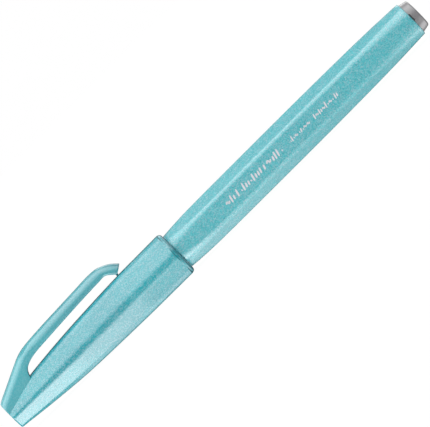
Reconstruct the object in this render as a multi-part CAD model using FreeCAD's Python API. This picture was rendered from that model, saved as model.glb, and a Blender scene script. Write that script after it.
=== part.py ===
import FreeCAD, Part
import math
import os

# Capped brush-tip marker with a hexagonal body and a long arched clip.
#
# Frame: X runs along the pen's axis, from the cap's closed end to the tail plug. Z points up,
# towards the clip, and the pen lies on the lowest flat of its cap at Z = 0. Every shape is first
# laid out by its station (distance from the cap's closed end) and its height over the axis.

Vector = FreeCAD.Vector

# ---------------------------------------------------------------- driving dimensions, millimetres
LENGTH = 138.0                  # capped pen, end to end
CAP_LENGTH = 56.3               # closed end to mouth
PLUG_STANDOUT = 2.2             # tail plug outside the barrel
AXIS_HEIGHT = 6.16              # pen axis over the surface that the cap lies on
SHOULDER_GAP = 0.05             # cap mouth to barrel shoulder
RUNNING_GAP = 0.05              # radial clearance of every running fit

# Rounded-hexagon sections of the cap: station, apothem, corner radius, height of the centre.
CAP_SECTIONS = [
    (0.0, 3.08, 1.00, -0.48),
    (10.0, 4.31, 1.80, -0.35),
    (20.0, 5.22, 2.45, -0.28),
    (30.0, 5.71, 2.85, -0.14),
    (42.0, 6.07, 3.00, -0.02),
    (49.5, 6.12, 3.00, -0.01),
    (CAP_LENGTH, AXIS_HEIGHT, 3.00, 0.0),
]
CAP_END_ROUNDING = 0.35
CAP_LIP_LENGTH = 0.8            # turned rounding of the mouth, along the axis
CAP_LIP_DEPTH = 0.9             # and inwards from the flats
CAP_LIP_CONE = (0.6, 0.95)      # turned cone behind it: along the axis, and outwards

CAP_BORE_RADIUS = 4.55          # round the grip section's seat
CAP_BORE_STEP = 37.0            # station where the bore steps in for the liner
LINER_SEAT_RADIUS = 4.00        # bore round the liner's open end
LINER_SEAT_END_RADIUS = 3.45    # bore round the liner's closed end
LINER_END = 14.0                # station of the liner's closed end
CAP_CAVITY_END = 2.6            # air space behind the liner ends here
CAP_CAVITY_RADIUS = 1.55        # its radius there

LINER_WALL_END = 1.2
LINER_LIP_RADIUS = 2.95         # seals round the nose seat
LINER_LIP_LENGTH = 7.0
LINER_MOUTH_CHAMFER = 0.5
LINER_CAVITY_RADIUS = 2.70
LINER_CAVITY_END_RADIUS = 2.35

# Clip: side outline, station and height over the axis.
CLIP_HALF_WIDTH = 2.80
CLIP_TIP_HALF_WIDTH = 2.30
CLIP_TAPER_START = 12.0
CLIP_ROOT_TOP = (0.0, 4.05)
CLIP_RAMP_TOP = (10.9, 9.28)
CLIP_OUTER_CURVE = [(14.8, 10.10), (26.5, 10.74), (37.6, 11.17), (40.2, 10.72), (42.4, 9.66)]
CLIP_TIP_OUTER = (44.45, 7.85)
CLIP_TIP_INNER = (42.35, 6.35)
CLIP_INNER_BEND = (40.55, 7.86)
CLIP_INNER_CURVE = [(38.8, 8.19), (30.0, 7.94), (20.0, 7.34)]
CLIP_ROOT_ARC_START = (14.6, 6.92)
CLIP_ROOT_ARC_MIDDLE = (11.35, 5.85)
CLIP_ROOT_ARC_END = (10.0, 3.80)
CLIP_FOOT = (10.0, 2.6)         # the fin's outline closes inside the cap's body
CLIP_FOOT_END = (0.0, 0.2)
CLIP_EDGE_ROUNDING = 1.0
CLIP_RAMP_SLOPE = 0.42          # the outer surface stays above this rise from the root
CLIP_SHORTEST_EDGE = 4.0        # of the edges that are rounded

CLIP_HINGE = (13.6, 8.22)       # where the clip bends
CLIP_KNUCKLE_RADIUS = 1.40
CLIP_RELIEF_DEGREES = 6.0       # room over the knuckle for the lifted arm

NUB_START = 41.85
NUB_LENGTH = 0.55
NUB_HALF_WIDTH = 1.1
NUB_FOOT_HEIGHT = 6.10
NUB_TOP_HEIGHT = 7.2

# Rounded-hexagon sections of the barrel: station, apothem, corner radius.
BARREL_START = CAP_LENGTH + SHOULDER_GAP
BARREL_END = LENGTH - PLUG_STANDOUT
BARREL_SECTIONS = [
    (BARREL_START, 4.94, 4.60),
    (60.0, 4.94, 2.86),
    (66.0, 4.98, 1.80),
    (84.0, 5.00, 1.56),
    (103.0, 4.99, 1.56),
    (118.0, 4.92, 1.90),
    (127.0, 4.87, 2.75),
    (BARREL_END, 4.76, 4.15),
]
BARREL_BORE_RADIUS = 3.75

# Grip section: the cap's seat, the grip cone, the nose seat for the liner and the nose itself.
GRIP_SPIGOT_END = 64.5
GRIP_SEAT_RADIUS = CAP_BORE_RADIUS - RUNNING_GAP
GRIP_SEAT_START = 50.5
GRIP_CONE_START = 39.0
GRIP_CONE_RADIUS = 3.65
NOSE_SEAT_END = 36.5
NOSE_SEAT_START = 31.2
NOSE_SEAT_RADIUS = LINER_LIP_RADIUS - RUNNING_GAP
NOSE_END = 28.6
NOSE_END_RADIUS = 2.25
GRIP_CAVITY_RADIUS = 2.45
GRIP_CAVITY_START = 38.0

# Nib collar: a bush in the nose, with a cone in front.
COLLAR_FRONT = 27.0
COLLAR_FRONT_RADIUS = 1.60
COLLAR_RIM_RADIUS = 2.10
COLLAR_BODY_RADIUS = 1.90
COLLAR_BODY_END = 36.0

# Brush tip and feed rod.
TIP_POINT = 20.0
TIP_BASE_RADIUS = 1.10
TIP_CURVE = [(24.4, 0.94), (21.9, 0.50)]
TIP_POINT_RADIUS = 0.08
TIP_SOCKET_RADIUS = TIP_BASE_RADIUS + RUNNING_GAP
TIP_SOCKET_DEPTH = 1.2
FEED_RADIUS = 0.90
FEED_END = 71.0

# Reservoir and its film.
RESERVOIR_START = 64.8
RESERVOIR_END = 126.5
RESERVOIR_RADIUS = 3.35
FILM_RADIUS = 3.47

# Tail plug.
PLUG_BASE_RADIUS = 4.40
PLUG_FACE_RADIUS = 3.95
PLUG_EDGE_ROUNDING = 0.6
PLUG_SIDE_FLARE = 0.12          # how much wider the side is where the rounding begins
PLUG_STUB_START = 126.7
PLUG_STUB_BORE = 2.90
PLUG_STUB_BORE_END = 134.6
PLUG_DISH_RADIUS = 2.7
PLUG_DISH_DEPTH = 0.25
PLUG_SLIT_HEIGHTS = (-0.7, 1.4)
PLUG_SLIT_LENGTH = 0.3
PLUG_SLIT_DEPTH = 1.0

AXIS_X = Vector(1, 0, 0)
MIDDLE = LENGTH / 2
OVERRUN = 1.0                   # how far a cutting shape runs past the face that it cuts


# ---------------------------------------------------------------- helpers
def place(station, height, side=0.0):
    """A point from its station, its height over the axis, and its place across."""
    return Vector(station - MIDDLE, side, AXIS_HEIGHT + height)


def hexagon(station, apothem, corner_radius, rise, first_normal):
    """A rounded hexagon across the axis, whose first flat faces the angle first_normal."""
    centre = place(station, rise)
    half_flat = (apothem - corner_radius) * math.tan(math.radians(30))
    corner_distance = (apothem - corner_radius) / math.cos(math.radians(30))

    def polar(radius, degrees):
        turn = math.radians(degrees)
        return Vector(0, radius * math.cos(turn), radius * math.sin(turn))

    edges = []
    for side in range(6):
        normal = first_normal + 60 * side
        along = polar(1.0, normal + 90)
        flat_middle = centre + polar(apothem, normal)
        flat_start = flat_middle - along * half_flat
        flat_end = flat_middle + along * half_flat
        corner_centre = centre + polar(corner_distance, normal + 30)
        arc_middle = corner_centre + polar(corner_radius, normal + 30)
        arc_end = corner_centre + polar(corner_radius, normal + 60)
        edges.append(Part.LineSegment(flat_start, flat_end).toShape())
        edges.append(Part.Arc(flat_end, arc_middle, arc_end).toShape())
    return Part.Wire(edges)


def hexagonal_body(sections, first_normal):
    """A solid through rounded-hexagon sections of (station, apothem, corner radius, rise)."""
    wires = [hexagon(*section, first_normal) for section in sections]
    return Part.makeLoft(wires, True, False)


def turned(profile):
    """A solid of revolution about the axis, from a closed outline of (station, radius)."""
    points = [place(station, radius) for station, radius in profile]
    face = Part.Face(Part.makePolygon(points + points[:1]))
    return face.revolve(place(0, 0), AXIS_X, 360)


def turned_edges(edges):
    """A solid of revolution about the axis, from the edges of a closed outline."""
    return Part.Face(Part.Wire(edges)).revolve(place(0, 0), AXIS_X, 360)


def line(start, end):
    return Part.LineSegment(place(*start), place(*end)).toShape()


def curve(points):
    spline = Part.BSplineCurve()
    spline.interpolate([place(*point) for point in points])
    return spline.toShape()


def arc(start, middle, end):
    return Part.Arc(place(*start), place(*middle), place(*end)).toShape()


def across(face, half_width):
    """A plate from a face in the pen's middle plane, half_width to each side."""
    shifted = face.translated(Vector(0, -half_width, 0))
    return shifted.extrude(Vector(0, 2 * half_width, 0))


def tube(start, end, outer, inner):
    return turned([(start, inner), (end, inner), (end, outer), (start, outer)])


def rod(start, end, radius):
    return Part.makeCylinder(radius, end - start, place(start, 0), AXIS_X)


def save(node, shape):
    solid = shape.Solids[0]
    assert len(shape.Solids) == 1 and solid.isValid(), node
    solid.exportStep("parts/%s.step" % node)


# ---------------------------------------------------------------- clip
def clip_blank():
    """The whole clip, fin and arm, before it is divided at the place where it bends."""
    outer = [CLIP_RAMP_TOP] + CLIP_OUTER_CURVE + [CLIP_TIP_OUTER]
    inner = [CLIP_INNER_BEND] + CLIP_INNER_CURVE + [CLIP_ROOT_ARC_START]
    edges = [
        line(CLIP_ROOT_TOP, CLIP_RAMP_TOP),
        curve(outer),
        line(CLIP_TIP_OUTER, CLIP_TIP_INNER),
        line(CLIP_TIP_INNER, CLIP_INNER_BEND),
        curve(inner),
        arc(CLIP_ROOT_ARC_START, CLIP_ROOT_ARC_MIDDLE, CLIP_ROOT_ARC_END),
        line(CLIP_ROOT_ARC_END, CLIP_FOOT),
        line(CLIP_FOOT, CLIP_FOOT_END),
        line(CLIP_FOOT_END, CLIP_ROOT_TOP),
    ]
    plate = across(Part.Face(Part.Wire(edges)), CLIP_HALF_WIDTH)
    return plate.common(clip_plan())


def clip_plan():
    """The clip seen from above: parallel at the root, then narrowing to the tip."""
    tip_station = CLIP_TIP_OUTER[0]
    corners = [
        (-OVERRUN, -CLIP_HALF_WIDTH),
        (CLIP_TAPER_START, -CLIP_HALF_WIDTH),
        (tip_station, -CLIP_TIP_HALF_WIDTH),
        (tip_station, CLIP_TIP_HALF_WIDTH),
        (CLIP_TAPER_START, CLIP_HALF_WIDTH),
        (-OVERRUN, CLIP_HALF_WIDTH),
    ]
    points = [place(station, 0, side) for station, side in corners]
    plan = Part.Face(Part.makePolygon(points + points[:1]))
    return plan.extrude(Vector(0, 0, 2 * AXIS_HEIGHT))


def outer_edges(solid):
    """The long edges along the clip's upper surface, on both sides."""
    chosen = []
    for edge in solid.Edges:
        middle = edge.valueAt((edge.FirstParameter + edge.LastParameter) / 2)
        station = middle.x + MIDDLE
        height = middle.z - AXIS_HEIGHT
        on_side = abs(middle.y) > 0.99 * CLIP_TIP_HALF_WIDTH
        upper = height > CLIP_ROOT_TOP[1] + CLIP_RAMP_SLOPE * min(station, CLIP_RAMP_TOP[0])
        if on_side and upper and edge.Length > CLIP_SHORTEST_EDGE:
            chosen.append(edge)
    return chosen


def knuckle(radius):
    return Part.makeCylinder(
        radius, 4 * CLIP_HALF_WIDTH, place(*CLIP_HINGE, -2 * CLIP_HALF_WIDTH), Vector(0, 1, 0))


def half_space(lean_degrees):
    """Everything on the tip's side of a plane through the hinge that leans towards the tip."""
    reach = LENGTH
    block = Part.makeBox(reach, reach, reach, place(CLIP_HINGE[0], CLIP_HINGE[1], -reach / 2))
    block.rotate(place(*CLIP_HINGE), Vector(0, 1, 0), lean_degrees)
    lower = Part.makeBox(reach, reach, reach, place(CLIP_HINGE[0], CLIP_HINGE[1] - reach, -reach / 2))
    return block.fuse(lower)


def clip_fin(blank):
    """The fixed root of the clip, with a hollow for the arm's knuckle."""
    return blank.cut(half_space(0.0)).cut(knuckle(CLIP_KNUCKLE_RADIUS + RUNNING_GAP))


def clip_arm(blank):
    """The arm, its knuckle, and the nub under its tip that bears on the cap."""
    arm = blank.common(half_space(CLIP_RELIEF_DEGREES))
    arm = arm.fuse(knuckle(CLIP_KNUCKLE_RADIUS).common(blank))
    nub = Part.makeBox(
        NUB_LENGTH, 2 * NUB_HALF_WIDTH, NUB_TOP_HEIGHT - NUB_FOOT_HEIGHT,
        place(NUB_START, NUB_FOOT_HEIGHT, -NUB_HALF_WIDTH))
    return arm.fuse(nub).removeSplitter()


# ---------------------------------------------------------------- cap
def cap_turning():
    """The turned form that rounds the cap's mouth and leaves its flats alone."""
    flat = CAP_SECTIONS[-1][1]
    cone_length, cone_rise = CAP_LIP_CONE
    lip_start = (CAP_LENGTH - CAP_LIP_LENGTH, flat)
    lip_end = (CAP_LENGTH, flat - CAP_LIP_DEPTH)
    turn = math.radians(50)
    lip_middle = (
        CAP_LENGTH - CAP_LIP_LENGTH * (1 - math.sin(turn)),
        flat - CAP_LIP_DEPTH * (1 - math.cos(turn)))
    cone_start = (lip_start[0] - cone_length, flat + cone_rise)
    back = (-OVERRUN, 2 * flat)
    return turned_edges([
        line((-OVERRUN, 0), back),
        line(back, (cone_start[0], 2 * flat)),
        line((cone_start[0], 2 * flat), cone_start),
        line(cone_start, lip_start),
        arc(lip_start, lip_middle, lip_end),
        line(lip_end, (CAP_LENGTH, 0)),
        line((CAP_LENGTH, 0), (-OVERRUN, 0)),
    ])


def end_edges(solid, station):
    target = station - MIDDLE
    return [edge for edge in solid.Edges
            if abs(edge.BoundBox.XMin - target) < 1e-4 and abs(edge.BoundBox.XMax - target) < 1e-4]


def cap_shell(fin):
    body = hexagonal_body(CAP_SECTIONS, 90)
    body = body.makeFillet(CAP_END_ROUNDING, end_edges(body, 0.0))
    body = body.common(cap_turning())
    bore = turned([
        (CAP_CAVITY_END, 0),
        (CAP_CAVITY_END, CAP_CAVITY_RADIUS),
        (LINER_END, LINER_SEAT_END_RADIUS),
        (CAP_BORE_STEP, LINER_SEAT_RADIUS),
        (CAP_BORE_STEP, CAP_BORE_RADIUS),
        (CAP_LENGTH + OVERRUN, CAP_BORE_RADIUS),
        (CAP_LENGTH + OVERRUN, 0),
    ])
    return body.fuse(fin).cut(bore).removeSplitter()


def inner_cap():
    """The liner cup: a lip that grips the nose, and a cavity round the nib."""
    lip_start = CAP_BORE_STEP - LINER_LIP_LENGTH
    return turned([
        (LINER_END, 0),
        (LINER_END, LINER_SEAT_END_RADIUS - RUNNING_GAP),
        (CAP_BORE_STEP, LINER_SEAT_RADIUS - RUNNING_GAP),
        (CAP_BORE_STEP, LINER_LIP_RADIUS + LINER_MOUTH_CHAMFER),
        (CAP_BORE_STEP - LINER_MOUTH_CHAMFER, LINER_LIP_RADIUS),
        (lip_start, LINER_LIP_RADIUS),
        (lip_start, LINER_CAVITY_RADIUS),
        (LINER_END + LINER_WALL_END, LINER_CAVITY_END_RADIUS),
        (LINER_END + LINER_WALL_END, 0),
    ])


# ---------------------------------------------------------------- barrel and what it holds
def barrel():
    sections = [(station, apothem, radius, 0.0) for station, apothem, radius in BARREL_SECTIONS]
    body = hexagonal_body(sections, 0)
    return body.cut(rod(BARREL_START - OVERRUN, BARREL_END + OVERRUN, BARREL_BORE_RADIUS))


def grip_section():
    return turned([
        (NOSE_END, COLLAR_BODY_RADIUS),
        (NOSE_END, NOSE_END_RADIUS),
        (NOSE_SEAT_START, NOSE_SEAT_RADIUS),
        (NOSE_SEAT_END, NOSE_SEAT_RADIUS),
        (GRIP_CONE_START, GRIP_CONE_RADIUS),
        (GRIP_SEAT_START, GRIP_SEAT_RADIUS),
        (BARREL_START, GRIP_SEAT_RADIUS),
        (BARREL_START, BARREL_BORE_RADIUS),
        (GRIP_SPIGOT_END, BARREL_BORE_RADIUS),
        (GRIP_SPIGOT_END, GRIP_CAVITY_RADIUS),
        (GRIP_CAVITY_START, GRIP_CAVITY_RADIUS),
        (COLLAR_BODY_END, COLLAR_BODY_RADIUS),
    ])


def nib_collar():
    socket_end = COLLAR_FRONT + TIP_SOCKET_DEPTH
    return turned([
        (COLLAR_FRONT, TIP_SOCKET_RADIUS),
        (COLLAR_FRONT, COLLAR_FRONT_RADIUS),
        (NOSE_END, COLLAR_RIM_RADIUS),
        (NOSE_END, COLLAR_BODY_RADIUS),
        (COLLAR_BODY_END, COLLAR_BODY_RADIUS),
        (COLLAR_BODY_END, FEED_RADIUS),
        (socket_end, FEED_RADIUS),
        (socket_end, TIP_SOCKET_RADIUS),
    ])


def brush_tip():
    """A pointed tip on a ball-shaped root, which lets it flex in the collar's mouth."""
    root = (COLLAR_FRONT, TIP_BASE_RADIUS)
    diagonal = TIP_BASE_RADIUS * math.sqrt(0.5)
    return turned_edges([
        line((TIP_POINT, 0), (TIP_POINT, TIP_POINT_RADIUS)),
        curve([(TIP_POINT, TIP_POINT_RADIUS)] + TIP_CURVE[::-1] + [root]),
        arc(root, (COLLAR_FRONT + diagonal, diagonal), (COLLAR_FRONT + TIP_BASE_RADIUS, 0)),
        line((COLLAR_FRONT + TIP_BASE_RADIUS, 0), (TIP_POINT, 0)),
    ])


def feed_rod():
    return rod(COLLAR_FRONT + TIP_SOCKET_DEPTH, FEED_END, FEED_RADIUS)


def ink_reservoir():
    body = rod(RESERVOIR_START, RESERVOIR_END, RESERVOIR_RADIUS)
    return body.cut(rod(RESERVOIR_START - OVERRUN, FEED_END, FEED_RADIUS))


def tail_plug():
    """The plug's visible head, its hollow stub in the barrel, and the slit beside the barrel."""
    rounding = PLUG_EDGE_ROUNDING
    side_end = (LENGTH - rounding, PLUG_FACE_RADIUS + PLUG_SIDE_FLARE)
    face_start = (LENGTH, PLUG_FACE_RADIUS - rounding)
    bend = (LENGTH - 0.2 * rounding, PLUG_FACE_RADIUS - 0.2 * rounding)
    dish_start = (LENGTH, PLUG_DISH_RADIUS)
    dish_floor = (LENGTH - PLUG_DISH_DEPTH, PLUG_DISH_RADIUS - PLUG_DISH_DEPTH)
    body = turned_edges([
        line((PLUG_STUB_START, PLUG_STUB_BORE), (PLUG_STUB_START, BARREL_BORE_RADIUS)),
        line((PLUG_STUB_START, BARREL_BORE_RADIUS), (BARREL_END, BARREL_BORE_RADIUS)),
        line((BARREL_END, BARREL_BORE_RADIUS), (BARREL_END, PLUG_BASE_RADIUS)),
        line((BARREL_END, PLUG_BASE_RADIUS), side_end),
        arc(side_end, bend, face_start),
        line(face_start, dish_start),
        line(dish_start, dish_floor),
        line(dish_floor, (dish_floor[0], 0)),
        line((dish_floor[0], 0), (PLUG_STUB_BORE_END, 0)),
        line((PLUG_STUB_BORE_END, 0), (PLUG_STUB_BORE_END, PLUG_STUB_BORE)),
        line((PLUG_STUB_BORE_END, PLUG_STUB_BORE), (PLUG_STUB_START, PLUG_STUB_BORE)),
    ])
    low, high = PLUG_SLIT_HEIGHTS
    slit = Part.makeBox(
        PLUG_SLIT_LENGTH, PLUG_SLIT_DEPTH + OVERRUN, high - low,
        place(BARREL_END, low, -PLUG_BASE_RADIUS - OVERRUN))
    return body.cut(slit)


# ---------------------------------------------------------------- sub-parts
BLANK = clip_blank()
BLANK = BLANK.makeFillet(CLIP_EDGE_ROUNDING, outer_edges(BLANK))

NODES = {
    "cap_shell": cap_shell(clip_fin(BLANK)),
    "clip_arm": clip_arm(BLANK),
    "inner_cap": inner_cap(),
    "barrel": barrel(),
    "grip_section": grip_section(),
    "nib_collar": nib_collar(),
    "brush_tip": brush_tip(),
    "feed_rod": feed_rod(),
    "ink_reservoir": ink_reservoir(),
    "reservoir_film": tube(RESERVOIR_START, RESERVOIR_END, FILM_RADIUS, RESERVOIR_RADIUS),
    "tail_plug": tail_plug(),
}

for node_name, node_shape in NODES.items():
    save(node_name, node_shape)
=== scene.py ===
import math
import random

import bpy
from mathutils import Matrix, Vector


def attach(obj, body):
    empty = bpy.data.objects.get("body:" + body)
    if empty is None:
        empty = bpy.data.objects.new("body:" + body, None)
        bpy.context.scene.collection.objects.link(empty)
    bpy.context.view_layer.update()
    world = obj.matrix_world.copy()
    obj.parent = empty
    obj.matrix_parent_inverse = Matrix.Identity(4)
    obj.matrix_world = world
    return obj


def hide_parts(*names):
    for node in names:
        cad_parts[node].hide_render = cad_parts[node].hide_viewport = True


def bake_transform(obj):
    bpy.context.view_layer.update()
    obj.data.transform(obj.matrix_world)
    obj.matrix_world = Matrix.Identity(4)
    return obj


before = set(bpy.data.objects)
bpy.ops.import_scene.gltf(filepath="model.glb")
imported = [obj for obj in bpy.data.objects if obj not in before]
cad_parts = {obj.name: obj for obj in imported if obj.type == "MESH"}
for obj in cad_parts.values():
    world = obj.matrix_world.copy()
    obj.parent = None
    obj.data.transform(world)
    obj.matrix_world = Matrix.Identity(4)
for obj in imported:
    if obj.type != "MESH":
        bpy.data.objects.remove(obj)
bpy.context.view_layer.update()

# Lengths below are in millimetres, laid out as on the drawing: the station is the distance from
# the cap's closed end along the pen, and the height is over the pen's axis, towards the clip.
MM = 0.001
LENGTH = 138.0
AXIS_HEIGHT = 6.16
CAP_LENGTH = 56.3
BARREL_START = 56.35
BARREL_END = 135.8

# Rounded-hexagon sections: station, apothem, corner radius, height of the centre.
CAP_SECTIONS = [
    (0.0, 3.08, 1.00, -0.48), (10.0, 4.31, 1.80, -0.35), (20.0, 5.22, 2.45, -0.28),
    (30.0, 5.71, 2.85, -0.14), (42.0, 6.07, 3.00, -0.02), (49.5, 6.12, 3.00, -0.01),
    (CAP_LENGTH, 6.16, 3.00, 0.0),
]
BARREL_SECTIONS = [
    (BARREL_START, 4.94, 4.60, 0.0), (60.0, 4.94, 2.86, 0.0), (66.0, 4.98, 1.80, 0.0),
    (84.0, 5.00, 1.56, 0.0), (103.0, 4.99, 1.56, 0.0), (118.0, 4.92, 1.90, 0.0),
    (127.0, 4.87, 2.75, 0.0), (BARREL_END, 4.76, 4.15, 0.0),
]
FLAT_SAMPLES = 8                # points along each flat of a hexagonal ring
CORNER_SAMPLES = 12             # and round each of its corners
ON_AXIS = 1e-6                  # a turned ring of a smaller radius than this is a single point


# ------------------------------------------------------------------ curves
def spline(points, count):
    """count points on a smooth curve through the given ones, spaced evenly by parameter."""
    points = [Vector(p) for p in points]
    padded = [2 * points[0] - points[1]] + points + [2 * points[-1] - points[-2]]
    result = []
    for index in range(count):
        place = index * (len(points) - 1) / (count - 1)
        first = min(int(place), len(points) - 2)
        t = place - first
        before, start, end, after = padded[first:first + 4]
        chord = (end - start).length
        before_chord = max((start - before).length, 1e-9)
        after_chord = max((after - end).length, 1e-9)
        leave = ((end - start) / chord + (start - before) / before_chord) / 2 * chord
        arrive = ((after - end) / after_chord + (end - start) / chord) / 2 * chord
        result.append(
            start * (2 * t**3 - 3 * t**2 + 1) + leave * (t**3 - 2 * t**2 + t)
            + end * (-2 * t**3 + 3 * t**2) + arrive * (t**3 - t**2))
    return result


def section_at(sections, station):
    """Apothem, corner radius and centre height between the listed sections, smoothly."""
    stations = [s[0] for s in sections]
    last = len(sections) - 1
    index = max(0, min(last - 1, sum(s <= station for s in stations) - 1))

    def slope(i, k):
        low, high = max(0, i - 1), min(last, i + 1)
        return (sections[high][k] - sections[low][k]) / (stations[high] - stations[low])

    span = stations[index + 1] - stations[index]
    t = (station - stations[index]) / span
    values = []
    for k in (1, 2, 3):
        start, end = sections[index][k], sections[index + 1][k]
        values.append(
            start * (2 * t**3 - 3 * t**2 + 1) + slope(index, k) * span * (t**3 - 2 * t**2 + t)
            + end * (-2 * t**3 + 3 * t**2) + slope(index + 1, k) * span * (t**3 - t**2))
    return values


def hexagon_radius(apothem, corner_radius, degrees):
    """Distance from the centre to a rounded hexagon with a flat at 0 degrees."""
    turn = math.radians((degrees + 30) % 60 - 30)
    core = (apothem - corner_radius) / math.cos(math.radians(30))
    flat_edge = math.atan2((apothem - corner_radius) * math.tan(math.radians(30)), apothem)
    if abs(turn) <= flat_edge:
        return apothem / math.cos(turn)
    offset = math.radians(30) - abs(turn)
    return core * math.cos(offset) + math.sqrt(corner_radius**2 - (core * math.sin(offset))**2)


# ------------------------------------------------------------------ meshes
def place(station, height, side=0.0):
    """A point in the frame, in metres."""
    return Vector((station - LENGTH / 2, side, AXIS_HEIGHT + height)) * MM


def finish_mesh(name, points, faces, material, sharp_degrees=40):
    """A smooth-shaded piece, with edges sharp where its faces meet at more than that angle."""
    mesh = bpy.data.meshes.new(name)
    mesh.from_pydata([tuple(p) for p in points], [], faces)
    mesh.validate()
    mesh.materials.append(material)
    mesh.polygons.foreach_set("use_smooth", [True] * len(mesh.polygons))
    mesh.set_sharp_from_angle(angle=math.radians(sharp_degrees))
    piece = bpy.data.objects.new(name, mesh)
    bpy.context.scene.collection.objects.link(piece)
    return piece


def skin(name, rings, material, closed=False):
    """A closed mesh through rings of equally many points. A ring of one point is a pole."""
    points, starts, faces = [], [], []
    for ring in rings:
        starts.append(len(points))
        points.extend(ring)
    pairs = list(zip(range(len(rings)), range(1, len(rings))))
    if closed:
        pairs.append((len(rings) - 1, 0))
    for first, second in pairs:
        a, b = starts[first], starts[second]
        size = max(len(rings[first]), len(rings[second]))
        for i in range(size):
            j = (i + 1) % size
            if len(rings[first]) == 1:
                faces.append((a, b + j, b + i))
            elif len(rings[second]) == 1:
                faces.append((a + i, a + j, b))
            else:
                faces.append((a + i, a + j, b + j, b + i))
    return finish_mesh(name, points, faces, material)


def round_corners(profile, radius, steps=4):
    """The same open outline with each inner corner rounded by an arc of at most that radius."""
    points = [Vector(p) for p in profile]
    result = [points[0]]
    for before, corner, after in zip(points, points[1:], points[2:]):
        back, ahead = before - corner, after - corner
        reach = min(radius, back.length * 0.45, ahead.length * 0.45)
        start, end = corner + back.normalized() * reach, corner + ahead.normalized() * reach
        for step in range(steps + 1):
            t = step / steps
            result.append(start * (1 - t)**2 + corner * (2 * t * (1 - t)) + end * t**2)
    return result + [points[-1]]


def turned(name, profile, material, rounding, samples):
    """A turned part from (station, radius) pairs that begin and end on the axis, edges rounded."""
    rings = []
    for station, radius in round_corners(profile, rounding):
        if radius < ON_AXIS:
            rings.append([place(station, 0)])
            continue
        ring = []
        for i in range(samples):
            turn = 2 * math.pi * i / samples
            ring.append(place(station, radius * math.sin(turn), radius * math.cos(turn)))
        rings.append(ring)
    return skin(name, rings, material)


def hexagon_ring(sections, station, first_normal, inset=0.0):
    """One ring of a hexagonal body, with its points gathered at the corners."""
    apothem, corner_radius, rise = section_at(sections, station)
    flat_edge = math.degrees(math.atan2(
        (apothem - corner_radius) * math.tan(math.radians(30)), apothem))
    ring = []
    for side in range(6):
        for i in range(FLAT_SAMPLES + CORNER_SAMPLES):
            if i < FLAT_SAMPLES:
                turn = flat_edge * (2 * i / FLAT_SAMPLES - 1)
            else:
                share = (i - FLAT_SAMPLES) / CORNER_SAMPLES
                turn = flat_edge + (60 - 2 * flat_edge) * share
            radius = hexagon_radius(apothem, corner_radius, turn) - inset
            angle = math.radians(first_normal + 60 * side + turn)
            ring.append(place(
                station, rise + radius * math.sin(angle), radius * math.cos(angle)))
    return ring


def round_ring(station, radius, like):
    """A round ring whose points stand at the same angles as those of a hexagonal ring."""
    centre = sum(like, Vector()) / len(like)
    ring = []
    for point in like:
        turn = math.atan2(point.z - centre.z, point.y - centre.y)
        ring.append(place(station, radius * math.sin(turn), radius * math.cos(turn)))
    return ring


# ------------------------------------------------------------------ shader helpers
class Nodes:
    """Short calls for building a node tree."""

    def __init__(self, tree):
        self.tree = tree

    def add(self, kind, inputs=None, **settings):
        node = self.tree.nodes.new(kind)
        for name, value in settings.items():
            setattr(node, name, value)
        for name, value in (inputs or {}).items():
            self.feed(node.inputs[name], value)
        return node

    def feed(self, socket, value):
        if isinstance(value, bpy.types.NodeSocket):
            self.tree.links.new(value, socket)
        else:
            socket.default_value = value

    def math(self, operation, *values):
        node = self.add("ShaderNodeMath", operation=operation)
        for socket, value in zip(node.inputs, values):
            self.feed(socket, value)
        return node.outputs[0]

    def vector(self, operation, first, second=None):
        node = self.add("ShaderNodeVectorMath", operation=operation)
        self.feed(node.inputs[0], first)
        if second is not None:
            self.feed(node.inputs["Scale" if operation == "SCALE" else 1], second)
        return node.outputs[0]

    def remap(self, value, low, high, to_low=0.0, to_high=1.0, shape="SMOOTHSTEP"):
        node = self.add("ShaderNodeMapRange", interpolation_type=shape)
        for socket, number in zip(node.inputs, (value, low, high, to_low, to_high)):
            self.feed(socket, number)
        return node.outputs[0]

    def blend(self, factor, first, second):
        """A mix of two colours, whose sockets are the Mix node's inputs 6 and 7 and output 2."""
        node = self.add("ShaderNodeMix", data_type="RGBA")
        self.feed(node.inputs[0], factor)
        self.feed(node.inputs[6], first)
        self.feed(node.inputs[7], second)
        return node.outputs[2]

    def noise(self, position, scale, detail=2.0, stretch=(1, 1, 1)):
        mapping = self.add("ShaderNodeMapping", {"Vector": position, "Scale": stretch})
        inputs = {"Vector": mapping.outputs[0], "Scale": scale, "Detail": detail}
        return self.add("ShaderNodeTexNoise", inputs).outputs["Fac"]


def rgb(red, green, blue):
    """A linear colour from the usual 0 to 255 display values."""
    def linear(value):
        value /= 255
        return value / 12.92 if value <= 0.04045 else ((value + 0.055) / 1.055) ** 2.4
    return (linear(red), linear(green), linear(blue), 1.0)


# ------------------------------------------------------------------ studio
# Brightness of the studio round the pen's axis, by angle from the front (0): up over the top (90)
# to the back (180), and down under the pen (-90) to the back (-180). A long soft light hangs
# above, another lies below and a narrower one stands behind. It is nearly dark straight ahead.
STUDIO_RING = [
    (-180, 0.02), (-160, 0.08), (-140, 0.25), (-130, 0.4), (-120, 1.05), (-104, 1.7), (-84, 1.75),
    (-62, 1.6), (-45, 1.2), (-30, 0.5), (-18, 0.15), (-10, 0.08), (-3, 0.2), (3, 0.2), (10, 0.1),
    (20, 0.25), (30, 0.7), (42, 1.15), (56, 1.5), (74, 1.95), (92, 1.8), (106, 0.8), (115, 0.35),
    (124, 0.4), (136, 1.3), (152, 1.6), (165, 0.4), (180, 0.02),
]
STUDIO_PEAK = 2.0

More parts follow.
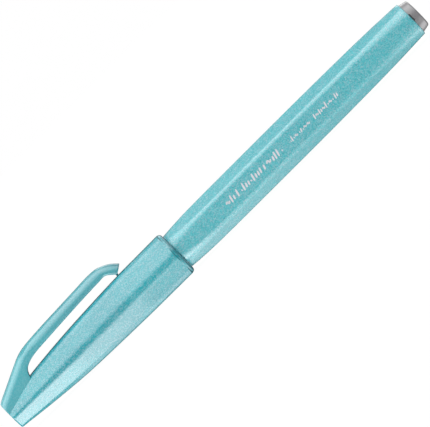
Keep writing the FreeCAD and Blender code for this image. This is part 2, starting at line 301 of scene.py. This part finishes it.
# How that light changes along the pen. X runs towards the tail, Y away from the front and Z up, as
# parts of a direction of length 1. A span runs from where a change starts to where it is complete.
LOWER_SPAN = (0.15, -0.15)      # Z: from the upper light to the lower one
IN_FRONT_SPAN = (0.1, 0.5)      # -Y: from behind or beside the pen to in front of it
FRONT_SPAN = (-0.26, 0.12)      # X: the lower light in front weakens towards the tail
FRONT_GAIN = (2.6, 0.55)
BACK_SPAN = (-0.2, -0.06)       # X: the lower light behind comes in
BACK_GAIN = (0.05, 1.0)
GAP_ANGLE = math.radians(64)    # a faint gap divides the lower light, this far under the front
GAP_WIDTH = (0.08, 0.2)         # radians from its middle
GAP_SPAN = (-0.07, -0.02)       # X
GAP_DEPTH = 0.6
FADE_START = (-0.01, 0.03)      # X: the light fades low down and behind, and returns at the plug
FADE_END = (0.07, 0.12)
FADE_BEHIND = (1.7, 2.1)        # radians over the top
FADE_DEPTH = 0.8
FLAG_SPAN = (-0.45, -0.3)       # X: a dark flag hangs behind the upper light
FLAG_LEAN = (5.0, 2.4)          # its edge, in radians over the top, as slope times X plus offset
FLAG_LEAST = 1.35               # and where the edge stops coming forward
FLAG_SOFTNESS = 0.18
FLAG_DEPTH = 0.85
TAIL_SPAN = (0.3, 0.6)          # X: the light dims off the pen's tail, most of all low down
TAIL_DIP_SPAN = (0.05, 0.4)     # Z
TAIL_DIP = (0.3, 0.7)


def dimmed(n, gain, mask, depth):
    """The gain, less a share of it where the mask is 1."""
    return n.math("MULTIPLY", gain, n.math("MULTIPLY_ADD", mask, -depth, 1.0))


def make_world():
    world = bpy.data.worlds.new("studio")
    bpy.context.scene.world = world
    world.use_nodes = True
    world.node_tree.nodes.clear()
    n = Nodes(world.node_tree)
    direction = n.add("ShaderNodeTexCoord").outputs["Generated"]
    parts = n.add("ShaderNodeSeparateXYZ", {"Vector": direction}).outputs
    toward_front = n.math("MULTIPLY", parts["Y"], -1.0)
    turn = n.math("ARCTAN2", parts["Z"], toward_front)
    share_of_turn = n.math("MULTIPLY_ADD", turn, 0.5 / math.pi, 0.5)
    ramp = n.add("ShaderNodeValToRGB", {"Fac": share_of_turn})
    elements = ramp.color_ramp.elements
    elements.remove(elements[-1])
    for index, (degrees, value) in enumerate(STUDIO_RING):
        place_on_ramp = degrees / 360 + 0.5
        element = elements[0] if index == 0 else elements.new(place_on_ramp)
        element.position = place_on_ramp
        element.color = (value / STUDIO_PEAK,) * 3 + (1,)

    lower = n.remap(parts["Z"], *LOWER_SPAN)
    front_gain = n.remap(parts["X"], *FRONT_SPAN, *FRONT_GAIN, "LINEAR")
    back_gain = n.remap(parts["X"], *BACK_SPAN, *BACK_GAIN)
    in_front = n.remap(toward_front, *IN_FRONT_SPAN)
    front_excess = n.math("SUBTRACT", front_gain, back_gain)
    lower_gain = n.math("MULTIPLY_ADD", in_front, front_excess, back_gain)
    gain = n.math("MULTIPLY_ADD", lower, n.math("SUBTRACT", lower_gain, 1.0), 1.0)

    from_gap = n.math("ABSOLUTE", n.math("ADD", turn, GAP_ANGLE))
    gap = n.remap(from_gap, *GAP_WIDTH, 1.0, 0.0)
    gap = n.math("MULTIPLY", gap, n.remap(parts["X"], *GAP_SPAN))
    gain = dimmed(n, gain, gap, GAP_DEPTH)

    low_or_behind = n.math("MAXIMUM", lower, n.remap(turn, *FADE_BEHIND))
    fade = n.remap(parts["X"], *FADE_START)
    fade = n.math("MULTIPLY", fade, n.remap(parts["X"], *FADE_END, 1.0, 0.0))
    gain = dimmed(n, gain, n.math("MULTIPLY", fade, low_or_behind), FADE_DEPTH)

    edge = n.math("MAXIMUM", n.math("MULTIPLY_ADD", parts["X"], *FLAG_LEAN), FLAG_LEAST)
    edge_start = n.math("SUBTRACT", edge, FLAG_SOFTNESS)
    edge_end = n.math("ADD", edge, FLAG_SOFTNESS)
    flag = n.remap(turn, edge_start, edge_end)
    flag = n.math("MULTIPLY", flag, n.remap(parts["X"], *FLAG_SPAN))
    gain = dimmed(n, gain, flag, FLAG_DEPTH)

    tail_dip = n.remap(parts["Z"], *TAIL_DIP_SPAN, *TAIL_DIP)
    tail_gain = n.remap(parts["X"], *TAIL_SPAN, 1.0, tail_dip)
    strength = n.math("MULTIPLY", n.math("MULTIPLY", ramp.outputs["Color"], gain), tail_gain)
    strength = n.math("MULTIPLY", strength, STUDIO_PEAK)
    light = n.add("ShaderNodeBackground", {"Color": (1, 1, 1, 1), "Strength": strength})
    backdrop = n.add("ShaderNodeBackground", {"Color": (1, 1, 1, 1), "Strength": 1.0})
    path = n.add("ShaderNodeLightPath")
    mixed = n.add("ShaderNodeMixShader", {"Fac": path.outputs["Is Camera Ray"]})
    n.feed(mixed.inputs[1], light.outputs[0])
    n.feed(mixed.inputs[2], backdrop.outputs[0])
    n.add("ShaderNodeOutputWorld", {"Surface": mixed.outputs[0]})


def make_floor():
    """A plain pale floor that glows evenly, and neither lights the pen nor takes its shadow."""
    mesh = bpy.data.meshes.new("floor")
    reach = 6.0
    corners = [(-reach, -reach, 0), (reach, -reach, 0), (reach, reach, 0), (-reach, reach, 0)]
    mesh.from_pydata(corners, [], [(0, 1, 2, 3)])
    floor = bpy.data.objects.new("floor", mesh)
    bpy.context.scene.collection.objects.link(floor)
    material = bpy.data.materials.new("floor")
    material.use_nodes = True
    shader = material.node_tree.nodes["Principled BSDF"]
    shader.inputs["Base Color"].default_value = (0.05, 0.05, 0.05, 1)
    shader.inputs["Roughness"].default_value = 0.9
    shader.inputs["Specular IOR Level"].default_value = 0.0
    shader.inputs["Emission Color"].default_value = (1, 1, 1, 1)
    shader.inputs["Emission Strength"].default_value = 0.96
    mesh.materials.append(material)
    floor.visible_diffuse = False
    floor.visible_glossy = False
    floor.visible_transmission = False
    floor.visible_shadow = False


def make_camera():
    """The photograph's view: square to the pen's side, rolled so that the tail points up right."""
    elevation = math.radians(2.5)
    roll = math.radians(44.9)
    distance = 1.2
    seen_width = 103.66 * MM
    aim_station, aim_height = LENGTH / 2 + 0.22, 0.12
    data = bpy.data.cameras.new("camera")
    data.sensor_width = 36
    data.lens = data.sensor_width * distance / seen_width
    data.clip_end = 20
    camera = bpy.data.objects.new("camera", data)
    bpy.context.scene.collection.objects.link(camera)
    target = place(aim_station, aim_height)
    back = Vector((0, -math.cos(elevation), math.sin(elevation)))
    along = Vector((1, 0, 0))
    above = back.cross(along)
    right = along * math.cos(roll) - above * math.sin(roll)
    up = along * math.sin(roll) + above * math.cos(roll)
    rotation = Matrix((right, up, back)).transposed().to_4x4()
    camera.matrix_world = Matrix.Translation(target + back * distance) @ rotation
    bpy.context.scene.camera = camera


# ------------------------------------------------------------------ materials
def new_material(name):
    material = bpy.data.materials.new(name)
    material.use_nodes = True
    return material, Nodes(material.node_tree), material.node_tree.nodes["Principled BSDF"]


# The mica in the plastic. Scales are in cells per metre, and shares are for a glitter of 1.
FLOW_SCALE = 260.0
FLAKE_SCALE = 4600.0
DUST_SCALE = 7000.0
GRAIN_SHARE = 0.35              # how far the dull flakes go towards the deep dye
FLAKE_SHARE = 0.42              # and how far the bright ones go towards silver
DUST_LEAN = 0.24                # how far the finest flakes tip the surface
TAIL_FACING_SHADE_SPAN = (0.3, 0.65)         # faces turned towards the tail, such as the lip, are painted a darker teal: painted shade
TAIL_FACING_SHADE_SHARE = 0.6


def pearl_plastic(name, glitter, core=(0, 0, 0), painted_light_share=0.0):
    """Turquoise plastic full of mica: a deep dye, fine bright flakes and a slow pearly flow, with
    painted shade on faces turned towards the tail.

    A share of a second, paler colour makes the dye paler: painted light.
    """
    material, n, shader = new_material(name)
    surface = n.add("ShaderNodeTexCoord").outputs
    position = surface["Object"]
    flow = n.noise(position, FLOW_SCALE, 4.0, (0.3, 1, 1))
    tint = n.blend(n.remap(flow, 0.35, 0.65), rgb(16, 182, 196), rgb(32, 198, 210))
    # Painted light: the dye is blended a share towards a paler colour, for copies that stand lit
    # brighter.
    tint = n.blend(painted_light_share, tint, rgb(*core))
    flakes = n.add("ShaderNodeTexVoronoi", {"Vector": position, "Scale": FLAKE_SCALE})
    chance = n.add("ShaderNodeSeparateColor", {"Color": flakes.outputs["Color"]}).outputs
    dull = n.math("MULTIPLY", chance["Green"], GRAIN_SHARE * glitter)
    grain = n.blend(dull, tint, rgb(18, 160, 176))
    bright = n.math("MULTIPLY", n.remap(chance["Red"], 0.4, 1.0), FLAKE_SHARE * glitter)
    silver = n.blend(chance["Blue"], rgb(186, 240, 244), rgb(206, 226, 246))
    base = n.blend(bright, grain, silver)
    # Painted shade: faces turned towards the tail, such as the lip, are darkened towards a dark teal.
    toward_tail = n.add("ShaderNodeSeparateXYZ", {"Vector": surface["Normal"]}).outputs["X"]
    painted_shade = n.math("MULTIPLY", n.remap(toward_tail, *TAIL_FACING_SHADE_SPAN), TAIL_FACING_SHADE_SHARE)
    n.feed(shader.inputs["Base Color"], n.blend(painted_shade, base, rgb(10, 122, 142)))
    dust = n.add("ShaderNodeTexVoronoi", {"Vector": position, "Scale": DUST_SCALE})
    lean = n.vector("SUBTRACT", dust.outputs["Color"], (0.5, 0.5, 0.5))
    lean = n.vector("SCALE", lean, DUST_LEAN * glitter)
    normal = n.add("ShaderNodeNewGeometry").outputs["Normal"]
    n.feed(shader.inputs["Normal"], n.vector("NORMALIZE", n.vector("ADD", normal, lean)))
    shader.inputs["Roughness"].default_value = 0.42
    shader.inputs["Coat Weight"].default_value = 1.0
    shader.inputs["Coat IOR"].default_value = 2.0
    shader.inputs["Coat Roughness"].default_value = 0.12
    return material


def grey_plastic():
    """Glossy moulded grey with a barely uneven skin."""
    material, n, shader = new_material("grey_plastic")
    position = n.add("ShaderNodeTexCoord").outputs["Object"]
    grain = n.noise(position, 4000.0, 3.0)
    n.feed(shader.inputs["Base Color"], n.blend(grain, rgb(150, 149, 151), rgb(166, 164, 167)))
    n.feed(shader.inputs["Roughness"], n.remap(grain, 0.3, 0.7, 0.28, 0.4))
    bump = n.add("ShaderNodeBump", {"Height": grain, "Strength": 0.15, "Distance": 0.00002})
    n.feed(shader.inputs["Normal"], bump.outputs[0])
    shader.inputs["Coat Weight"].default_value = 1.0
    shader.inputs["Coat IOR"].default_value = 2.0
    shader.inputs["Coat Roughness"].default_value = 0.15
    return material


def milky_plastic(name, colour):
    """Pale plastic that lets some light in, with a faint cloud in it."""
    material, n, shader = new_material(name)
    position = n.add("ShaderNodeTexCoord").outputs["Object"]
    cloud = n.noise(position, 700.0, 3.0)
    pale = tuple(min(1.0, value * 1.12) for value in colour[:3]) + (1.0,)
    n.feed(shader.inputs["Base Color"], n.blend(cloud, colour, pale))
    shader.inputs["Roughness"].default_value = 0.42
    shader.inputs["Subsurface Weight"].default_value = 0.3
    shader.inputs["Subsurface Scale"].default_value = 0.0008
    return material


def inked_fibre(name, dark, light, scale):
    """Bundled fibres that run along the pen, soaked with ink."""
    material, n, shader = new_material(name)
    position = n.add("ShaderNodeTexCoord").outputs["Object"]
    strands = n.noise(position, scale, 5.0, (0.04, 1, 1))
    n.feed(shader.inputs["Base Color"], n.blend(n.remap(strands, 0.3, 0.7), dark, light))
    n.feed(shader.inputs["Roughness"], n.remap(strands, 0.3, 0.7, 0.5, 0.8))
    bump = n.add("ShaderNodeBump", {"Height": strands, "Strength": 0.5, "Distance": 0.00004})
    n.feed(shader.inputs["Normal"], bump.outputs[0])
    return material


def foil_print():
    """Silver-white ink, a little worn."""
    material, n, shader = new_material("foil_print")
    position = n.add("ShaderNodeTexCoord").outputs["Object"]
    wear = n.noise(position, 2600.0, 4.0)
    n.feed(shader.inputs["Base Color"], n.blend(wear, rgb(232, 234, 244), rgb(252, 252, 255)))
    n.feed(shader.inputs["Roughness"], n.remap(wear, 0.3, 0.7, 0.25, 0.5))
    return material


# ------------------------------------------------------------------ cap
CAP_SETBACK = 0.02              # the fin's end face stands this far in front of the cap's own
CAP_END_ROUNDING = 0.35
LIP_LENGTH = 0.8
LIP_DEPTH = 0.9
LIP_CONE = (0.6, 0.95)          # turned cone behind the lip: along the axis, and outwards
LIP_ZONE = 1.6
LIP_STEPS = 4                   # rings up to the cone, and again over it
LIP_CURVE_STEPS = 12
CAP_FLOOR = 2.6
# The bore from the mouth to its floor: station and radius, with the liner's seat at 37.
CAP_BORE = [
    (CAP_LENGTH, 4.75), (CAP_LENGTH - 0.05, 4.62), (CAP_LENGTH - 0.2, 4.56),
    (CAP_LENGTH - 0.6, 4.55), (37.05, 4.55), (37.0, 4.5), (37.0, 4.05), (36.95, 4.0),
    (14.0, 3.45), (CAP_FLOOR + 0.1, 1.55), (CAP_FLOOR, 1.45),
]


def lip_ring(last_section, station_and_radius):
    """A ring near the cap's mouth whose points each have their own station."""
    ring = []
    for turn, radius in last_section:
        station, reach = station_and_radius(radius)
        ring.append(place(station, reach * math.sin(turn), reach * math.cos(turn)))
    return ring


def make_cap(material):
    """From the closed end along the outside, round the lip, and back down the bore."""
    start = CAP_SETBACK
    rings = [[place(start, CAP_SECTIONS[0][3])]]
    for degrees in range(0, 91, 15):
        turn = math.radians(degrees)
        station = start + CAP_END_ROUNDING * (1 - math.cos(turn))
        inset = CAP_END_ROUNDING * (1 - math.sin(turn))
        rings.append(hexagon_ring(CAP_SECTIONS, station, 90, inset))
    body_start = start + CAP_END_ROUNDING
    body_end = CAP_LENGTH - LIP_ZONE
    steps = 72
    for step in range(1, steps + 1):
        station = body_start + (body_end - body_start) * step / steps
        rings.append(hexagon_ring(CAP_SECTIONS, station, 90))
    axis = place(body_end, 0)
    last_section = []
    for point in rings[-1]:
        arm = (point - axis) / MM
        last_section.append((math.atan2(arm.z, arm.y), math.hypot(arm.z, arm.y)))
    flat = CAP_SECTIONS[-1][1]
    lip_start = CAP_LENGTH - LIP_LENGTH
    cone_length, cone_rise = LIP_CONE

    def crease(radius):
        """The station where the cone starts, further back where the corners stand out."""
        return lip_start - max(0.0, radius - flat) * cone_length / cone_rise

    for step in range(1, LIP_STEPS + 1):
        share = step / LIP_STEPS
        rings.append(lip_ring(last_section, lambda radius: (
            body_end + (crease(radius) - body_end) * share, radius)))
    for step in range(1, LIP_STEPS + 1):
        share = step / LIP_STEPS
        rings.append(lip_ring(last_section, lambda radius: (
            crease(radius) + (lip_start - crease(radius)) * share,
            radius + (flat - radius) * share)))
    for step in range(1, LIP_CURVE_STEPS + 1):
        turn = math.radians(90 * step / LIP_CURVE_STEPS)
        rings.append(lip_ring(last_section, lambda radius: (
            lip_start + LIP_LENGTH * math.sin(turn), flat - LIP_DEPTH * (1 - math.cos(turn)))))
    for station, radius in CAP_BORE:
        rings.append(lip_ring(last_section, lambda _: (station, radius)))
    rings.append([place(CAP_FLOOR, 0)])
    cap = skin("cap_shell_pearl", rings, material)
    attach(cap, "cap")
    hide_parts("cap_shell")


# ------------------------------------------------------------------ clip
# Pairs of points on the clip's outer and inner outlines: station and height of each.
CLIP_PAIRS = [
    (0.0, 3.68, 0.0, 0.2), (0.12, 4.02, 0.2, 0.24), (0.5, 4.28, 0.6, 0.35),
    (3.6, 5.80, 3.6, 0.95), (7.2, 7.53, 7.4, 1.85), (9.4, 8.58, 9.6, 2.7),
    (10.9, 9.24, 10.0, 3.9), (12.0, 9.60, 10.45, 4.95), (13.2, 9.87, 11.35, 5.85),
    (14.8, 10.09, 12.8, 6.52), (16.2, 10.21, 14.6, 6.93), (20.5, 10.48, 20.0, 7.34),
    (26.5, 10.74, 26.2, 7.72), (32.0, 10.97, 31.8, 8.02), (37.0, 11.15, 37.8, 8.24),
    (39.2, 10.98, 39.7, 8.26), (40.1, 10.74, 40.3, 8.00), (42.4, 9.62, 41.3, 7.18),
    (44.45, 7.90, 42.25, 6.42),
]
CLIP_RINGS = 150
CLIP_HALF_WIDTH = 2.8
CLIP_TIP_HALF_WIDTH = 2.3
CLIP_TAPER_START = 12.0
CLIP_TIP = 44.45
CLIP_OUTER_EDGE = (2.6, 2.2)    # rounding of the outer edges: down the side, and across the top
CLIP_INNER_EDGE = (0.6, 0.4)
CLIP_EDGE_GAP = 0.05            # least height left flat between the two roundings of a side
CLIP_ROOT_INSET = 0.15          # how far the end faces are drawn in
CLIP_TIP_INSET = 0.12
# Two corners of the nub under the tip: station, height and side.
NUB_LOW = (41.85, 6.10, -1.1)
NUB_HIGH = (42.40, 7.2, 1.1)
NUB_ROUNDING = 0.12


def bar_ring(inner, outer, half_width, inset=0.0):
    """A section of the clip between an inner and an outer point, its four edges rounded."""
    axis = (outer - inner).normalized()
    length = (outer - inner).length
    corners = [
        (length, 1, CLIP_OUTER_EDGE, 0), (length, -1, CLIP_OUTER_EDGE, 90),
        (0.0, -1, CLIP_INNER_EDGE, 180), (0.0, 1, CLIP_INNER_EDGE, 270),
    ]
    ring = []
    steps = 10
    for reach, side, (down, across), start in corners:
        inward = -1 if reach else 1
        down = min(down, length - CLIP_INNER_EDGE[0] - CLIP_EDGE_GAP)
        for step in range(steps):
            turn = math.radians(start + 90 * step / (steps - 1))
            along = reach + inward * down + (down - inset) * math.sin(turn)
            beside = side * (half_width - across) + (across - inset) * math.cos(turn)
            point = inner + axis * along
            ring.append(place(point.x, point.y, beside))
    return ring


def make_clip(material):
    """The fin on the cap and the long arm in one piece."""
    outer_line = spline([(pair[0], pair[1], 0) for pair in CLIP_PAIRS], CLIP_RINGS)
    inner_line = spline([(pair[2], pair[3], 0) for pair in CLIP_PAIRS], CLIP_RINGS)
    rings = []
    last = CLIP_RINGS - 1
    for index, (outer, inner) in enumerate(zip(outer_line, inner_line)):
        taper = max(0.0, outer.x - CLIP_TAPER_START) / (CLIP_TIP - CLIP_TAPER_START)
        half_width = CLIP_HALF_WIDTH + (CLIP_TIP_HALF_WIDTH - CLIP_HALF_WIDTH) * taper
        if index == 0:
            middle = (outer + inner) / 2
            rings.append([place(middle.x, middle.y)])
            rings.append(bar_ring(inner, outer, half_width, CLIP_ROOT_INSET))
        elif index == last:
            rings.append(bar_ring(inner, outer, half_width, CLIP_TIP_INSET))
            middle = (outer + inner) / 2
            rings.append([place(middle.x, middle.y)])
        else:
            rings.append(bar_ring(inner, outer, half_width))
    clip = skin("clip_arm_pearl", rings, material)
    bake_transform(clip)
    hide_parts("clip_arm")


def make_nub(material):
    nub = box_piece("clip_nub_pearl", NUB_LOW, NUB_HIGH, NUB_ROUNDING, material)
    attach(nub, "clip")


def box_piece(name, low, high, rounding, material):
    """A box between two corners (station, height, side), its long edges rounded."""
    rings = []
    steps = 5
    middle = (Vector(low) + Vector(high)) / 2
    for side in (low[2], high[2]):
        ring = []
        corners = [
            (high[0] - rounding, high[1] - rounding, 0), (low[0] + rounding, high[1] - rounding, 90),
            (low[0] + rounding, low[1] + rounding, 180), (high[0] - rounding, low[1] + rounding, 270),
        ]
        for station, height, start in corners:
            for step in range(steps):
                turn = math.radians(start + 90 * step / (steps - 1))
                ring.append(place(
                    station + rounding * math.cos(turn), height + rounding * math.sin(turn), side))
        rings.append(ring)
    rings.insert(0, [place(middle.x, middle.y, low[2])])
    rings.append([place(middle.x, middle.y, high[2])])
    for ring in rings:
        ring.reverse()
    return skin(name, rings, material)


# ------------------------------------------------------------------ barrel and nib
BARREL_BORE = 3.75              # radius
BARREL_EDGE = 0.12              # rounding of both ends
BARREL_EDGE_STEP = 0.035        # the one ring between a rounding's start and its end


def make_barrel(material):
    """A tube: rounded ends, a hexagonal outside and a round bore."""
    rings = []
    steps = 110
    straight = BARREL_END - BARREL_START - 2 * BARREL_EDGE
    for inwards in (0.0, BARREL_EDGE_STEP, BARREL_EDGE):
        sink = 1 - inwards / BARREL_EDGE
        station = BARREL_START + inwards
        rings.append(hexagon_ring(BARREL_SECTIONS, station, 0, BARREL_EDGE * sink**2))
    for step in range(1, steps):
        station = BARREL_START + BARREL_EDGE + straight * step / steps
        rings.append(hexagon_ring(BARREL_SECTIONS, station, 0))
    for inwards in (BARREL_EDGE, BARREL_EDGE_STEP, 0.0):
        sink = 1 - inwards / BARREL_EDGE
        station = BARREL_END - inwards
        rings.append(hexagon_ring(BARREL_SECTIONS, station, 0, BARREL_EDGE * sink**2))
    like = rings[-1]
    rings.append(round_ring(BARREL_END, BARREL_BORE, like))
    rings.append(round_ring(BARREL_START, BARREL_BORE, like))
    barrel = skin("barrel_pearl", rings, material, closed=True)
    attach(barrel, "barrel")
    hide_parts("barrel")


def make_brush_tip(material):
    """The soft point, from its tip back to its root in the collar."""
    profile = [
        (20.0, 0.0), (20.02, 0.05), (20.5, 0.2), (21.2, 0.37), (21.9, 0.50), (22.8, 0.68),
        (23.6, 0.82), (24.4, 0.94), (25.6, 1.06), (27.0, 1.10), (27.5, 1.06), (28.0, 0.8),
        (28.1, 0.0),
    ]
    tip = turned("brush_tip_fibre", profile, material, rounding=0.25, samples=64)
    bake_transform(tip)
    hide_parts("brush_tip")


# ------------------------------------------------------------------ print
# Plain marks that stand in for printed words and spell nothing, in units of a row's size: a long
# and a short slanted stroke, a wave and a dash.
MARKS = [
    [(0.0, 0.0), (0.15, 0.6), (0.3, 1.25)],
    [(0.0, 0.1), (0.12, 0.45), (0.24, 0.85)],
    [(0.0, 0.45), (0.25, 0.72), (0.5, 0.36), (0.75, 0.62)],
    [(0.0, 0.35), (0.22, 0.38)],
]
# Each row's first and last station, the height of its foot, and its size, stroke width and gap.
MARK_ROWS = [
    (72.7, 91.6, -0.85, 1.5, 0.5, 0.42),
    (94.3, 100.6, -0.65, 1.05, 0.38, 0.28),
    (102.4, 110.5, -0.65, 1.05, 0.38, 0.28),
]
TALL_CHANCE = 0.2
TALL_SIZE = 1.2
SINGLE_GAP_CHANCE = 0.8
MARK_SAMPLES = 12
MARK_END_WIDTH = 0.62           # a stroke's width at its ends, as a share of that at its middle
MARK_LIFTS = (0.002, 0.014)     # the ink's underside and its top, over the barrel's flat


def bent_stroke(points, width):
    """Outline of a mark drawn along a line of (station, height) points."""
    line = spline([(x, y, 0) for x, y in points], MARK_SAMPLES)
    left, right = [], []
    for index, point in enumerate(line):
        before, after = line[max(0, index - 1)], line[min(len(line) - 1, index + 1)]
        along = (after - before).normalized()
        beside = Vector((-along.y, along.x, 0))
        middle_share = math.sin(math.pi * index / (len(line) - 1))
        swell = MARK_END_WIDTH + (1 - MARK_END_WIDTH) * middle_share
        left.append(point + beside * width / 2 * swell)
        right.append(point - beside * width / 2 * swell)
    return [(p.x, p.y) for p in left + right[::-1]]


def make_print(material):
    """Three rows of plain marks, printed in foil on the front flat."""
    outlines = []
    chance = random.Random(5)
    for first, last, foot, size, width, gap in MARK_ROWS:
        station = first
        while station < last:
            mark = chance.choice(MARKS)
            grow = size * (TALL_SIZE if chance.random() < TALL_CHANCE else 1.0)
            line = [(station + x * grow, foot + y * grow) for x, y in mark]
            outlines.append(bent_stroke(line, width))
            gaps = 1 if chance.random() < SINGLE_GAP_CHANCE else 2
            station += max(x for x, _ in mark) * grow + gap * gaps
    points, faces = [], []
    for outline in outlines:
        count = len(outline)
        first = len(points)
        for lift in MARK_LIFTS:
            for station, height in outline:
                apothem = section_at(BARREL_SECTIONS, station)[0]
                points.append(place(station, height, -(apothem + lift)))
        for i in range(count // 2 - 1):
            a, b = first + i, first + i + 1
            c, d = first + count - 2 - i, first + count - 1 - i
            faces.append((a, b, c, d))
            faces.append((a + count, d + count, c + count, b + count))
        for i in range(count):
            j = (i + 1) % count
            faces.append((first + j, first + i, first + count + i, first + count + j))
    decal = finish_mesh("print_marks", points, faces, material, sharp_degrees=20)
    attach(decal, "barrel")


# ------------------------------------------------------------------ the scene
def dress(node, material):
    """A CAD part shown as it is, with a finish."""
    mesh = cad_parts[node].data
    mesh.materials.clear()
    mesh.materials.append(material)


make_world()
make_floor()
make_camera()
# One plastic. The barrel and the clip look paler in the photograph than the cap does.
# The barrel's and the clip's copies are painted paler than the cap's: painted light. The clip's copy
# also has less glitter, its smoother finish.
pearl = pearl_plastic("pearl_plastic", 1.0)
lit_pearl = pearl_plastic("pearl_plastic_barrel", 1.4, core=(130, 244, 252), painted_light_share=0.6)
smooth_lit_pearl = pearl_plastic("pearl_plastic_clip", 0.45, core=(170, 226, 234), painted_light_share=0.24)
grey = grey_plastic()
make_cap(pearl)
make_clip(smooth_lit_pearl)
make_nub(smooth_lit_pearl)
make_barrel(lit_pearl)
make_brush_tip(inked_fibre("nib_fibre", rgb(24, 70, 84), rgb(60, 150, 166), 6000.0))
make_print(foil_print())
dress("grip_section", grey)
dress("tail_plug", grey)
dress("nib_collar", milky_plastic("collar_plastic", rgb(214, 216, 216)))
dress("inner_cap", milky_plastic("liner_plastic", rgb(222, 226, 226)))
dress("feed_rod", inked_fibre("feed_fibre", rgb(30, 96, 110), rgb(80, 166, 180), 5000.0))
dress("ink_reservoir", inked_fibre("reservoir_fibre", rgb(34, 116, 132), rgb(92, 180, 194), 3000.0))
dress("reservoir_film", milky_plastic("film", rgb(226, 232, 234)))
bpy.context.scene.view_settings.view_transform = "Standard"
